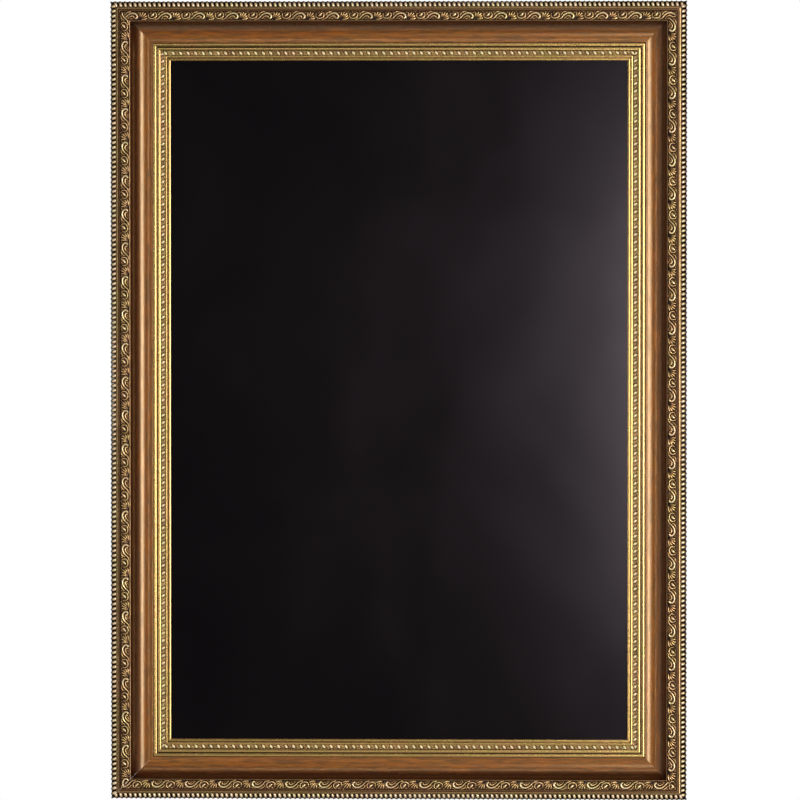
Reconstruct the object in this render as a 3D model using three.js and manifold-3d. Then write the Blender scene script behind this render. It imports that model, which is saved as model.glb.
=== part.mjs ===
// A framed chalkboard: a black chalk panel behind a gilt slip, in a mitred scoop moulding whose shoulder
// carries a row of beads and a running acanthus scroll. On the back are frame points, V-nails and two
// D-ring hangers.
//
// Millimetres, +Z up, +X to the right of someone facing the board. The board faces -Y, and the wall is the
// plane Y = 0. The origin lies on the wall, midway between the two points where the D-rings bear on their
// hooks.
//
// Sections are drawn as [u, v]: u runs inwards from the frame's outer edge and v forwards from the rails'
// back.

import * as THREE from 'three';
import { mergeVertices } from 'three/addons/utils/BufferGeometryUtils.js';
import Module from 'manifold-3d';

// Driving dimensions: overall
const FRAME_WIDTH = 650;
const FRAME_HEIGHT = 900;
const WALL_GAP = 5;
const HANGING_DROP = 220;
const SEAT_GAP = 0.3;
const MITRE_GAP = 0.3;

// Widths of the rail's bands, from the outer edge inwards
const BEAD_ROW_WIDTH = 7.3;
const FILLET_WIDTH = 1.2;
const QUIRK_WIDTH = 3.3;
const SCROLL_BAND_WIDTH = 10.2;
const LIP_WIDTH = 1.1;
const SCOOP_WIDTH = 23;
const SCOOP_RADIUS = 16.6;
const NOSE_WIDTH = 0.7;
const EDGE_INSET = 0.9;
const REBATE_WIDTH = 6;

// Heights of the rail's bands over its back
const BEAD_SEAT_HEIGHT = 28.6;
const FILLET_HEIGHT = 31.8;
const QUIRK_HEIGHT = 30;
const SCROLL_SEAT_HEIGHT = 32.4;
const LIP_HEIGHT = 35.6;
const REBATE_HEIGHT = 15.7;

// Widths and heights of the gilt slip's bands
const SHADOW_GAP = 0.4;
const SLIP_FILLET_WIDTH = 3.3;
const SLIP_CHANNEL_WIDTH = 2;
const SLIP_BEAD_ROW_WIDTH = 5.2;
const RIDGE_WIDTH = 2.2;
const SIGHT_GROOVE_WIDTH = 1.2;
const SIGHT_LIP_WIDTH = 2.6;
const SLIP_TONGUE_WIDTH = 5;
const SLIP_FILLET_HEIGHT = 19.6;
const SLIP_FILLET_ROUND = 1.1;
const SLIP_CHANNEL_HEIGHT = 17.6;
const SLIP_BEAD_SEAT_HEIGHT = 15.4;
const RIDGE_HEIGHT = 17.4;
const RIDGE_ROUND = 1.4;
const SIGHT_GROOVE_HEIGHT = 14.6;
const SIGHT_LIP_HEIGHT = 16.2;
const SIGHT_LIP_ROUND = 1.3;

// Chalk panel
const PANEL_THICKNESS = 5;
const PANEL_FRONT_HEIGHT = 11;
const PANEL_CLEARANCE = 1.2;

// Beads
const OUTER_BEAD_PITCH = 5.47;
const OUTER_BEAD_HEIGHT = 5;
const OUTER_BEAD_GAP_HEIGHT = 2.4;
const OUTER_BEAD_BELLY_HEIGHT = 2;
const SLIP_BEAD_PITCH = 8.5;
const SLIP_BEAD_HEIGHT = 3.4;
const SLIP_BEAD_GAP_HEIGHT = 1.5;
const BEAD_LEAN = 1.4;

// Acanthus scroll
const SCROLL_PERIOD = 37.8;
const SCROLL_BASE_THICKNESS = 1.1;
const SCROLL_RELIEF = 2.4;
const SCROLL_MARGIN = 0.3;
const VOLUTE_EYE = 1.1;
const VOLUTE_RADIUS = 2.8;
const VOLUTE_SWEEP = [40, 275];
const STEM_PLACE = 7.5;
const ARCH_PLACE = 15;
const ARCH_RADIUS = 3.4;
const ARCH_SWEEP = [165, -65];
const LEAF_TIP_PLACE = 29;
const LEAF_TIP_LIFT = 1;
const STEM_HALF_WIDTH = 1.5;
const TIP_HALF_WIDTH = 0.6;
const TIP_RELIEF = 1.4;

// Frame points and V-nails
const POINT_WIDTH = 6;
const POINT_THICKNESS = 0.6;
const POINT_EMBED = 7;
const POINT_REACH = 8;
const POINT_TIP = 3;
const POINTS_ON_SIDE = 3;
const POINTS_ON_END = 2;
const NAIL_LEG = 5.5;
const NAIL_THICKNESS = 0.6;
const NAIL_HEIGHT = 8;
const NAIL_OPENING = 50;
const NAIL_PLACES = [11, 29];

// D-ring hangers, their screws and the wall bumpers
const HANGER_INSET = 21;
const RING_WIRE = 2;
const RING_WIDTH = 18;
const RING_HEIGHT = 17;
const RING_CORNER = 2.5;
const RING_BUTT_GAP = 0.4;
const STRAP_THICKNESS = 0.8;
const STRAP_WIDTH = 12;
const STRAP_TAIL_WIDTH = 9;
const STRAP_LENGTH = 37;
const LEAF_FOLD_LENGTH = 7;
const FOLD_ANGLE = 40;
const KNUCKLE_CLEARANCE = 0.3;
const KNUCKLE_TO_SCREW = 12.5;
const SCREW_TO_TAIL_END = 8.5;
const SCREW_SHANK = 3;
const SCREW_HEAD = 6;
const SCREW_HEAD_TOP = 3.6;
const SCREW_HEAD_HEIGHT = 1.6;
const SCREW_LENGTH = 12;
const SCREW_TAPER = 3.5;
const HOLE_CLEARANCE = 0.3;
const BUMPER_DIAMETER = 12;
const BUMPER_FLAT = 8.4;
const BUMPER_RISE = 60;

// Facets along curves
const SCOOP_STEPS = 11;
const FILLET_STEPS = 2;
const SLIP_ROUND_STEPS = 4;
const SPIRAL_STEPS = 3;
const RING_STEPS = 20;
const WIRE_SIDES = 3;
const STRAP_STEPS = 5;
const TONGUE_STEPS = 2;
const SCREW_SIDES = 6;
const HOLE_SIDES = 8;
const BUMPER_SIDES = 10;

// Places worked out from the driving dimensions
const filletStart = BEAD_ROW_WIDTH;
const quirkStart = filletStart + FILLET_WIDTH;
const scrollStart = quirkStart + QUIRK_WIDTH;
const lipStart = scrollStart + SCROLL_BAND_WIDTH;
const scoopStart = lipStart + LIP_WIDTH;
const scoopEnd = scoopStart + SCOOP_WIDTH;
const railWidth = scoopEnd + NOSE_WIDTH;
const rebateWall = railWidth - REBATE_WIDTH;
const slipStart = railWidth + SHADOW_GAP;
const channelStart = slipStart + SLIP_FILLET_WIDTH;
const innerFilletStart = channelStart + SLIP_CHANNEL_WIDTH;
const slipBeadStart = innerFilletStart + SLIP_FILLET_WIDTH;
const ridgeStart = slipBeadStart + SLIP_BEAD_ROW_WIDTH;
const sightGrooveStart = ridgeStart + RIDGE_WIDTH;
const sightLipStart = sightGrooveStart + SIGHT_GROOVE_WIDTH;
const sightEdge = sightLipStart + SIGHT_LIP_WIDTH;
const slipBack = PANEL_FRONT_HEIGHT + SEAT_GAP;
const panelBack = PANEL_FRONT_HEIGHT - PANEL_THICKNESS;
const pointFront = panelBack - SEAT_GAP;
const frameCentre = HANGING_DROP - FRAME_HEIGHT / 2;
const wireRadius = RING_WIRE / 2;
const knuckleInner = wireRadius + KNUCKLE_CLEARANCE;
const knuckleOuter = knuckleInner + STRAP_THICKNESS;
const strapBack = SEAT_GAP;
const strapFace = strapBack + STRAP_THICKNESS;
const axisStandOff = strapBack + knuckleOuter;
const ringAxisZ = wireRadius - RING_HEIGHT;
const hangerX = FRAME_WIDTH / 2 - HANGER_INSET;
const screwDrops = [KNUCKLE_TO_SCREW, STRAP_LENGTH - SCREW_TO_TAIL_END];

const wasm = await Module();
wasm.setup();

// Materials
const finish = (color, roughness, metalness = 0) =>
  new THREE.MeshStandardMaterial({ color, roughness, metalness });
const walnut = () => finish(0x6a3f22, 0.45);
const gilt = () => finish(0xc9a468, 0.38, 0.7);
const agedGilt = () => finish(0xa07a4c, 0.5, 0.5);
const chalkBlack = () => finish(0x141113, 0.8);
const zincSteel = () => finish(0xb9bcc0, 0.35, 0.9);
const blackSteel = () => finish(0x3a3b3d, 0.5, 0.8);
const rubber = () => finish(0x2a2928, 0.85);

// Solids for cutting and joining
function toSolid(geometry) {
  const bare = geometry.clone();
  bare.deleteAttribute('normal');
  bare.deleteAttribute('uv');
  const merged = mergeVertices(bare, 1e-4);
  const vertProperties = new Float32Array(merged.attributes.position.array);
  const triVerts = new Uint32Array(merged.index.array);
  return new wasm.Manifold(new wasm.Mesh({ numProp: 3, vertProperties, triVerts }));
}

function toGeometry(solid) {
  const mesh = solid.getMesh();
  const geometry = new THREE.BufferGeometry();
  geometry.setAttribute('position', new THREE.BufferAttribute(mesh.vertProperties, 3));
  geometry.setIndex(new THREE.BufferAttribute(mesh.triVerts, 1));
  const flat = geometry.toNonIndexed();
  flat.computeVertexNormals();
  return flat;
}

const cut = (geometry, tools) =>
  toGeometry(tools.reduce((solid, tool) => solid.subtract(toSolid(tool)), toSolid(geometry)));

function piece(name, geometry, material) {
  const mesh = new THREE.Mesh(geometry, material);
  mesh.name = name;
  return mesh;
}

// A rail lies along X with its outer edge on z = 0, its inner edge towards -Z and its back on y = 0.
const railPoint = (s, u, v) => new THREE.Vector3(s, -v, -u);

// How far a rail reaches from its middle at inset u, up to the gap in the mitre.
const reachAt = (length, u) => length / 2 - u - (MITRE_GAP / 2) * Math.SQRT2;

// A section carried along the rail and mitred at both ends.
function mitredBar(section, length) {
  const shape = new THREE.Shape(section.map(([u, v]) => new THREE.Vector2(-v, -u)));
  const bar = new THREE.ExtrudeGeometry(shape, { depth: 1, bevelEnabled: false });
  const position = bar.attributes.position;
  for (let i = 0; i < position.count; i += 1) {
    const v = -position.getX(i);
    const u = -position.getY(i);
    const end = position.getZ(i) > 0.5 ? 1 : -1;
    const at = railPoint(end * reachAt(length, u), u, v);
    position.setXYZ(i, at.x, at.y, at.z);
  }
  bar.computeVertexNormals();
  return bar;
}

// The scoop is an arc: upright under the lip, lowest past its middle, and rising a little to the nose.
function scoopCurve() {
  const centre = scoopStart + SCOOP_RADIUS;
  const endAngle = Math.acos((centre - scoopEnd) / SCOOP_RADIUS);
  return Array.from({ length: SCOOP_STEPS + 1 }, (_, i) => {
    const angle = (i / SCOOP_STEPS) * endAngle;
    return [centre - SCOOP_RADIUS * Math.cos(angle), LIP_HEIGHT - SCOOP_RADIUS * Math.sin(angle)];
  });
}

// The rounded top of a band: it springs at the crown's height less the rise.
function roundedTop(start, width, crown, rise, steps) {
  return Array.from({ length: steps + 1 }, (_, i) => {
    const angle = Math.PI - (i / steps) * Math.PI;
    return [start + (width / 2) * (1 + Math.cos(angle)), crown - rise * (1 - Math.sin(angle))];
  });
}

const scoop = scoopCurve();
const [, noseHeight] = scoop.at(-1);
const railSection = [
  [EDGE_INSET, 0],
  [EDGE_INSET, BEAD_SEAT_HEIGHT],
  [filletStart, BEAD_SEAT_HEIGHT],
  ...roundedTop(filletStart, FILLET_WIDTH, FILLET_HEIGHT, FILLET_WIDTH / 2, FILLET_STEPS),
  [quirkStart, QUIRK_HEIGHT],
  [scrollStart, QUIRK_HEIGHT],
  [scrollStart, SCROLL_SEAT_HEIGHT],
  [lipStart, SCROLL_SEAT_HEIGHT],
  [lipStart, LIP_HEIGHT],
  ...scoop,
  [railWidth, noseHeight],
  [railWidth, REBATE_HEIGHT],
  [rebateWall, REBATE_HEIGHT],
  [rebateWall, 0],
];

const slipFillet = (start) =>
  roundedTop(start, SLIP_FILLET_WIDTH, SLIP_FILLET_HEIGHT, SLIP_FILLET_ROUND, SLIP_ROUND_STEPS);
const slipSection = [
  [railWidth - SLIP_TONGUE_WIDTH, slipBack],
  [railWidth - SLIP_TONGUE_WIDTH, REBATE_HEIGHT - SEAT_GAP],
  [slipStart, REBATE_HEIGHT - SEAT_GAP],
  ...slipFillet(slipStart),
  [channelStart, SLIP_CHANNEL_HEIGHT],
  [innerFilletStart, SLIP_CHANNEL_HEIGHT],
  ...slipFillet(innerFilletStart),
  [slipBeadStart, SLIP_BEAD_SEAT_HEIGHT],
  [ridgeStart, SLIP_BEAD_SEAT_HEIGHT],
  ...roundedTop(ridgeStart, RIDGE_WIDTH, RIDGE_HEIGHT, RIDGE_ROUND, SLIP_ROUND_STEPS),
  [sightGrooveStart, SIGHT_GROOVE_HEIGHT],
  [sightLipStart, SIGHT_GROOVE_HEIGHT],
  ...roundedTop(sightLipStart, SIGHT_LIP_WIDTH, SIGHT_LIP_HEIGHT, SIGHT_LIP_ROUND, SLIP_ROUND_STEPS),
  [sightEdge, slipBack],
];

// A string of beads pressed in one strip and mitred. Between two beads the strip sinks to a low ridge, and
// each bead swells up to a crown. With a belly height, a bead also swells past its foot on the strip's
// outer side. The beads lean, as a rope's strands do.
function beadString({ length, start, width, waist, seat, pitch, height, gapHeight, bellyHeight }) {
  const outer = start + waist;
  const inner = start + width - waist;
  const middle = start + width / 2;
  const count = Math.round((2 * reachAt(length, middle)) / pitch);
  const step = (2 * reachAt(length, middle)) / count;
  const lean = (u) => (BEAD_LEAN * (u - middle)) / width;
  const points = [];
  const faces = [];
  const add = (s, u, v) => points.push(railPoint(s, u, seat + v)) - 1;
  const between = (k) => {
    const atEnd = k === 0 || k === count;
    const side = k === 0 ? -1 : 1;
    const along = (u) => (atEnd ? side * reachAt(length, u) : (k - count / 2) * step + lean(u));
    return [
      add(along(outer), outer, 0),
      add(along(middle), middle, gapHeight),
      add(along(inner), inner, 0),
    ];
  };
  let [outerFoot, ridge, innerFoot] = between(0);
  faces.push([outerFoot, innerFoot, ridge]);
  for (let k = 1; k <= count; k += 1) {
    const s = (k - 0.5 - count / 2) * step;
    const crown = add(s, middle, height);
    const belly = bellyHeight ? add(s + lean(start), start, bellyHeight) : crown;
    const [nextOuterFoot, nextRidge, nextInnerFoot] = between(k);
    faces.push([outerFoot, ridge, belly], [outerFoot, belly, nextOuterFoot]);
    faces.push([belly, nextRidge, nextOuterFoot]);
    if (bellyHeight) faces.push([ridge, crown, belly], [belly, crown, nextRidge]);
    faces.push([ridge, innerFoot, crown], [innerFoot, nextInnerFoot, crown]);
    faces.push([crown, nextInnerFoot, nextRidge]);
    faces.push([outerFoot, nextInnerFoot, innerFoot], [outerFoot, nextOuterFoot, nextInnerFoot]);
    [outerFoot, ridge, innerFoot] = [nextOuterFoot, nextRidge, nextInnerFoot];
  }
  faces.push([outerFoot, ridge, innerFoot]);
  return facets(points, faces);
}

function facets(points, faces) {
  const geometry = new THREE.BufferGeometry();
  const corners = faces.flat().map((i) => points[i]);
  geometry.setFromPoints(corners);
  geometry.computeVertexNormals();
  return geometry;
}

// A carved stem: a ridge with a sharp back that follows a line drawn on the band, swells in its middle and
// thins to a point at both ends. Each point of the line is [s, u].
function carvedStem(line, foot) {
  const last = line.length - 1;
  const points = [railPoint(...line[0], foot)];
  for (let i = 1; i < last; i += 1) {
    const [s, u] = line[i];
    const alongS = line[i + 1][0] - line[i - 1][0];
    const alongU = line[i + 1][1] - line[i - 1][1];
    const swell = Math.sin((Math.PI * i) / last);
    const half = TIP_HALF_WIDTH + (STEM_HALF_WIDTH - TIP_HALF_WIDTH) * swell;
    const scale = half / Math.hypot(alongS, alongU);
    const top = foot + TIP_RELIEF + (SCROLL_RELIEF - TIP_RELIEF) * swell;
    points.push(railPoint(s - alongU * scale, u + alongS * scale, foot));
    points.push(railPoint(s, u, top));
    points.push(railPoint(s + alongU * scale, u - alongS * scale, foot));
  }
  points.push(railPoint(...line[last], foot));
  const corner = (i, j) => 3 * i - 2 + (j % 3);
  const end = points.length - 1;
  const faces = [];
  for (let j = 0; j < 3; j += 1) {
    faces.push([0, corner(1, j), corner(1, j + 1)]);
    for (let i = 1; i < last - 1; i += 1) {
      faces.push([corner(i, j), corner(i + 1, j), corner(i + 1, j + 1)]);
      faces.push([corner(i, j), corner(i + 1, j + 1), corner(i, j + 1)]);
    }
    faces.push([corner(last - 1, j), end, corner(last - 1, j + 1)]);
  }
  return facets(points, faces);
}

// Points on a spiral drawn on the band, from one angle and radius to another. Angles are in degrees and
// start along +s, and 90 points to the outer edge.
function spiralOnBand(s, u, [startAngle, endAngle], [startRadius, endRadius]) {
  return Array.from({ length: SPIRAL_STEPS + 1 }, (_, i) => {
    const angle = THREE.MathUtils.degToRad(THREE.MathUtils.lerp(startAngle, endAngle, i / SPIRAL_STEPS));
    const radius = THREE.MathUtils.lerp(startRadius, endRadius, i / SPIRAL_STEPS);
    return [s + radius * Math.cos(angle), u - radius * Math.sin(angle)];
  });
}

// One repeat of the acanthus scroll: a volute curled up under the outer edge, a stem that runs along the
// inner edge and rises into an arch, and the leaf tip that the arch falls to on its way to the next volute.
function scrollRepeat(s) {
  const foot = SCROLL_SEAT_HEIGHT + SEAT_GAP + SCROLL_BASE_THICKNESS;
  const outerLimit = scrollStart + SCROLL_MARGIN + STEM_HALF_WIDTH;
  const innerLimit = lipStart - SCROLL_MARGIN - STEM_HALF_WIDTH;
  const voluteHeart = outerLimit + VOLUTE_RADIUS;
  const volute = spiralOnBand(s, voluteHeart, VOLUTE_SWEEP, [VOLUTE_EYE, VOLUTE_RADIUS]);
  const archHeart = outerLimit + ARCH_RADIUS;
  const arch = spiralOnBand(s + ARCH_PLACE, archHeart, ARCH_SWEEP, [ARCH_RADIUS, ARCH_RADIUS]);
  const stem = [s + STEM_PLACE, innerLimit];
  const leafTip = [s + LEAF_TIP_PLACE, innerLimit - LEAF_TIP_LIFT];
  return carvedStem([...volute, stem, ...arch, leafTip], foot);
}

// A side's scroll strip: a thin base with the repeats carved on it, all cut by the mitres. One volute lies
// at the side's own shift from its middle.
function scrollStrip({ length, scrollShift }) {
  const bottom = SCROLL_SEAT_HEIGHT + SEAT_GAP;
  const inner = lipStart - SEAT_GAP;
  const band = (low, high) => [[scrollStart, low], [scrollStart, high], [inner, high], [inner, low]];
  const base = mitredBar(band(bottom, bottom + SCROLL_BASE_THICKNESS), length);
  const room = toSolid(mitredBar(band(bottom, LIP_HEIGHT + SCROLL_RELIEF), length));
  const reach = Math.ceil(length / 2 / SCROLL_PERIOD) + 1;
  let relief = toSolid(base);
  for (let k = -reach; k <= reach; k += 1) {
    relief = relief.add(toSolid(scrollRepeat(k * SCROLL_PERIOD + scrollShift)));
  }
  return toGeometry(relief.intersect(room));
}

// Plates and cutters drawn in plan (x, z) and raised towards -Y from y = 0.
function raisedPlan(shape, thickness, curveSegments = 1) {
  return new THREE.ExtrudeGeometry(shape, {
    depth: thickness,
    bevelEnabled: false,
    curveSegments,
  }).rotateX(Math.PI / 2);
}

// V-nail: two legs that straddle the mitre, in plan with the mitre along z, driven flush with the rails'
// back. Clearance makes it its own slot.
function vNail(clearance) {
  const opening = THREE.MathUtils.degToRad(NAIL_OPENING);
  const half = NAIL_THICKNESS / 2 + clearance;
  const leg = NAIL_LEG + clearance;
  const alongX = Math.sin(opening);
  const alongZ = Math.cos(opening);
  const shape = new THREE.Shape();
  shape.moveTo(0, -half / alongX);
  shape.lineTo(leg * alongX + half * alongZ, leg * alongZ - half * alongX);
  shape.lineTo(leg * alongX - half * alongZ, leg * alongZ + half * alongX);
  shape.lineTo(0, half / alongX);
  shape.lineTo(-leg * alongX + half * alongZ, leg * alongZ + half * alongX);
  shape.lineTo(-leg * alongX - half * alongZ, leg * alongZ - half * alongX);
  return raisedPlan(shape, NAIL_HEIGHT + 2 * clearance).translate(0, clearance, 0);
}

// A V-nail or its slot at a rail's end, set back from the outer corner along the mitre.
function nailAtEnd(geometry, length, end, inset) {
  return geometry.rotateY((end * Math.PI) / 4).translate(end * (length / 2 - inset), 0, -inset);
}

// Frame point: a flat steel tongue with an arrow tip, driven into the rebate wall behind the panel.
function framePoint(clearance) {
  const half = POINT_WIDTH / 2 + clearance;
  const tip = POINT_EMBED + clearance;
  const shape = new THREE.Shape();
  shape.moveTo(-half, -POINT_REACH + half);
  shape.absarc(0, -POINT_REACH + half, half, Math.PI, 2 * Math.PI, false);
  shape.lineTo(half, tip - POINT_TIP);
  shape.lineTo(0, tip);
  shape.lineTo(-half, tip - POINT_TIP);
  const plan = raisedPlan(shape, POINT_THICKNESS + 2 * clearance, TONGUE_STEPS);
  const back = pointFront - POINT_THICKNESS - clearance;
  return plan.translate(0, -back, -rebateWall);
}

const pointPlaces = (length, count) =>
  Array.from({ length: count }, (_, i) => ((i + 1) / (count + 1) - 0.5) * (length - 2 * rebateWall));

// The way for a screw's shank, along Y on either side of y = 0.
function screwHole(x, z) {
  const radius = SCREW_SHANK / 2 + HOLE_CLEARANCE;
  return new THREE.CylinderGeometry(radius, radius, 2 * SCREW_LENGTH, HOLE_SIDES).translate(x, 0, z);
}

// The four sides, each with the corner at its +X end and where its scroll falls. A side is built along X and
// turned about Y by quarter turns, so the ornament runs the same way round the whole frame.
const sides = [
  { name: 'top', corner: 'top_right', scrollShift: -12 },
  { name: 'right', corner: 'bottom_right', scrollShift: -20 },
  { name: 'bottom', corner: 'bottom_left', scrollShift: -7 },
  { name: 'left', corner: 'top_left', scrollShift: 6 },
].map(({ name, corner, scrollShift }, turn) => {
  const upright = turn % 2 === 1;
  return {
    name,
    corner,
    scrollShift,
    turn,
    length: upright ? FRAME_HEIGHT : FRAME_WIDTH,
    reach: (upright ? FRAME_WIDTH : FRAME_HEIGHT) / 2,
    points: upright ? POINTS_ON_SIDE : POINTS_ON_END,
  };
});

// Where a side's hanger screws go, as places along that rail. The upright rails alone carry hangers.
function hangerScrewPlaces(side) {
  const up = { left: 1, right: -1 }[side.name];
  return up ? screwDrops.map((drop) => up * (ringAxisZ - drop - frameCentre)) : [];
}

function rail(side) {
  const cutters = [];
  for (const end of [-1, 1]) {
    for (const inset of NAIL_PLACES) cutters.push(nailAtEnd(vNail(HOLE_CLEARANCE), side.length, end, inset));
  }
  for (const s of pointPlaces(side.length, side.points)) {
    cutters.push(framePoint(HOLE_CLEARANCE).translate(s, 0, 0));
  }
  for (const s of hangerScrewPlaces(side)) cutters.push(screwHole(s, -HANGER_INSET));
  return piece(`rail_${side.name}`, cut(mitredBar(railSection, side.length), cutters), walnut());
}

function outerBeads(side) {
  const geometry = beadString({
    length: side.length,
    start: 0,
    width: BEAD_ROW_WIDTH - SEAT_GAP,
    waist: EDGE_INSET,
    seat: BEAD_SEAT_HEIGHT + SEAT_GAP,
    pitch: OUTER_BEAD_PITCH,
    height: OUTER_BEAD_HEIGHT,
    gapHeight: OUTER_BEAD_GAP_HEIGHT,
    bellyHeight: OUTER_BEAD_BELLY_HEIGHT,
  });
  return piece(`outer_beads_${side.name}`, geometry, agedGilt());
}

function slipBeads(side) {
  const geometry = beadString({
    length: side.length,
    start: slipBeadStart + SEAT_GAP,
    width: SLIP_BEAD_ROW_WIDTH - 2 * SEAT_GAP,
    waist: SEAT_GAP,
    seat: SLIP_BEAD_SEAT_HEIGHT + SEAT_GAP,
    pitch: SLIP_BEAD_PITCH,
    height: SLIP_BEAD_HEIGHT,
    gapHeight: SLIP_BEAD_GAP_HEIGHT,
    bellyHeight: 0,
  });
  return piece(`slip_beads_${side.name}`, geometry, gilt());
}

function frameSide(side) {
  const group = new THREE.Group();
  group.rotation.y = (side.turn * Math.PI) / 2;
  const along = new THREE.Group();
  along.position.z = side.reach;
  group.add(along);
  along.add(rail(side));
  along.add(outerBeads(side));
  along.add(piece(`scroll_${side.name}`, scrollStrip(side), agedGilt()));
  along.add(piece(`slip_${side.name}`, mitredBar(slipSection, side.length), gilt()));
  along.add(slipBeads(side));
  pointPlaces(side.length, side.points).forEach((s, i) => {
    along.add(piece(`frame_point_${side.name}_${i + 1}`, framePoint(0).translate(s, 0, 0), zincSteel()));
  });
  NAIL_PLACES.forEach((inset, i) => {
    const nail = nailAtEnd(vNail(0), side.length, 1, inset);
    along.add(piece(`v_nail_${side.corner}_${i + 1}`, nail, blackSteel()));
  });
  return group;
}

function chalkPanel() {
  const halfWidth = FRAME_WIDTH / 2 - rebateWall - PANEL_CLEARANCE;
  const halfHeight = FRAME_HEIGHT / 2 - rebateWall - PANEL_CLEARANCE;
  const sheet = new THREE.Shape([
    new THREE.Vector2(-halfWidth, -halfHeight),
    new THREE.Vector2(halfWidth, -halfHeight),
    new THREE.Vector2(halfWidth, halfHeight),
    new THREE.Vector2(-halfWidth, halfHeight),
  ]);
  return piece('chalk_panel', raisedPlan(sheet, PANEL_THICKNESS).translate(0, -panelBack, 0), chalkBlack());
}

// Hanger hardware is drawn about the ring's axis: x across, y out of the rail's back and z up.

// The half circle at the top of a D-ring, in the plane y = 0.
class RingBow extends THREE.Curve {
  constructor(radius, height) {
    super();
    this.radius = radius;
    this.height = height;
  }

  getPoint(t, target = new THREE.Vector3()) {
    const angle = Math.PI * t;
    return target.set(this.radius * Math.cos(angle), 0, this.height + this.radius * Math.sin(angle));
  }
}

// The D-ring: wire bent round a D, with its two ends butted in the middle of the straight bar.
function dRing() {
  const side = RING_WIDTH / 2;
  const legTop = RING_HEIGHT - side;
  const at = (x, z) => new THREE.Vector3(x, 0, z);
  const barEnd = side - RING_CORNER;
  const path = new THREE.CurvePath();
  path.add(new THREE.LineCurve3(at(RING_BUTT_GAP / 2, 0), at(barEnd, 0)));
  path.add(new THREE.QuadraticBezierCurve3(at(barEnd, 0), at(side, 0), at(side, RING_CORNER)));
  path.add(new THREE.LineCurve3(at(side, RING_CORNER), at(side, legTop)));
  path.add(new RingBow(side, legTop));
  path.add(new THREE.LineCurve3(at(-side, legTop), at(-side, RING_CORNER)));
  path.add(new THREE.QuadraticBezierCurve3(at(-side, RING_CORNER), at(-side, 0), at(-barEnd, 0)));
  path.add(new THREE.LineCurve3(at(-barEnd, 0), at(-RING_BUTT_GAP / 2, 0)));
  const wire = new THREE.Shape();
  wire.absarc(0, 0, wireRadius, 0, 2 * Math.PI, false);
  return new THREE.ExtrudeGeometry(wire, {
    steps: RING_STEPS,
    extrudePath: path,
    curveSegments: WIRE_SIDES,
  });
}

// The strap's edge seen from the side, as [out of the rail, up]: a flat tail, a knuckle rolled round the
// wire and a short leaf folded back on the tail. The leaf leaves the knuckle along its tangent.
function strapProfile() {
  const fold = THREE.MathUtils.degToRad(FOLD_ANGLE);
  const leafBack = SEAT_GAP - knuckleInner;
  const leafFace = leafBack + STRAP_THICKNESS;
  const shape = new THREE.Shape();
  const foldDrop = (radius, out) => {
    const run = (radius * Math.cos(fold) - out) / Math.sin(fold);
    return -(radius * Math.sin(fold) + run * Math.cos(fold));
  };
  shape.moveTo(-knuckleOuter, -STRAP_LENGTH);
  shape.lineTo(-knuckleOuter, 0);
  shape.absarc(0, 0, knuckleOuter, Math.PI, -fold, true);
  shape.lineTo(leafFace, foldDrop(knuckleOuter, leafFace));
  shape.lineTo(leafFace, -LEAF_FOLD_LENGTH);
  shape.lineTo(leafBack, -LEAF_FOLD_LENGTH);
  shape.lineTo(leafBack, foldDrop(knuckleInner, leafBack));
  shape.absarc(0, 0, knuckleInner, -fold, Math.PI, false);
  shape.lineTo(-knuckleInner, -STRAP_LENGTH);
  return shape;
}

// The strap seen from behind: full width at the knuckle, tapering to a narrower tail with a round end.
function strapPlan() {
  const half = STRAP_WIDTH / 2;
  const tail = STRAP_TAIL_WIDTH / 2;
  const shape = new THREE.Shape();
  shape.moveTo(-half, knuckleOuter + 1);
  shape.lineTo(-half, -LEAF_FOLD_LENGTH);
  shape.lineTo(-tail, -KNUCKLE_TO_SCREW);
  shape.lineTo(-tail, -STRAP_LENGTH + tail);
  shape.absarc(0, -STRAP_LENGTH + tail, tail, Math.PI, 2 * Math.PI, false);
  shape.lineTo(tail, -KNUCKLE_TO_SCREW);
  shape.lineTo(half, -LEAF_FOLD_LENGTH);
  shape.lineTo(half, knuckleOuter + 1);
  return shape;
}

function hangerStrap() {
  const rolled = new THREE.ExtrudeGeometry(strapProfile(), {
    depth: STRAP_WIDTH,
    bevelEnabled: false,
    curveSegments: STRAP_STEPS,
  });
  const across = new THREE.Matrix4().set(0, 0, 1, -STRAP_WIDTH / 2, 1, 0, 0, 0, 0, 1, 0, 0, 0, 0, 0, 1);
  rolled.applyMatrix4(across);
  const reach = 2 * knuckleOuter;
  const plan = raisedPlan(strapPlan(), 2 * reach, STRAP_STEPS).translate(0, reach, 0);
  let strap = toSolid(rolled).intersect(toSolid(plan));
  for (const drop of screwDrops) strap = strap.subtract(toSolid(screwHole(0, -drop)));
  return toGeometry(strap);
}

// A profile of [radius, y] turned about Y.
const turned = (profile, count) =>
  new THREE.LatheGeometry(profile.map(([radius, y]) => new THREE.Vector2(radius, y)), count);

// Pan-head wood screw along Y with the underside of its head on y = 0 and its point towards -Y.
function woodScrew() {
  const shank = SCREW_SHANK / 2;
  const head = SCREW_HEAD / 2;
  const profile = [
    [0, -SCREW_LENGTH],
    [shank, -SCREW_LENGTH + SCREW_TAPER],
    [shank, 0],
    [head, 0],
    [SCREW_HEAD_TOP / 2, SCREW_HEAD_HEIGHT],
    [0, SCREW_HEAD_HEIGHT],
  ];
  return turned(profile, SCREW_SIDES);
}

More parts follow.
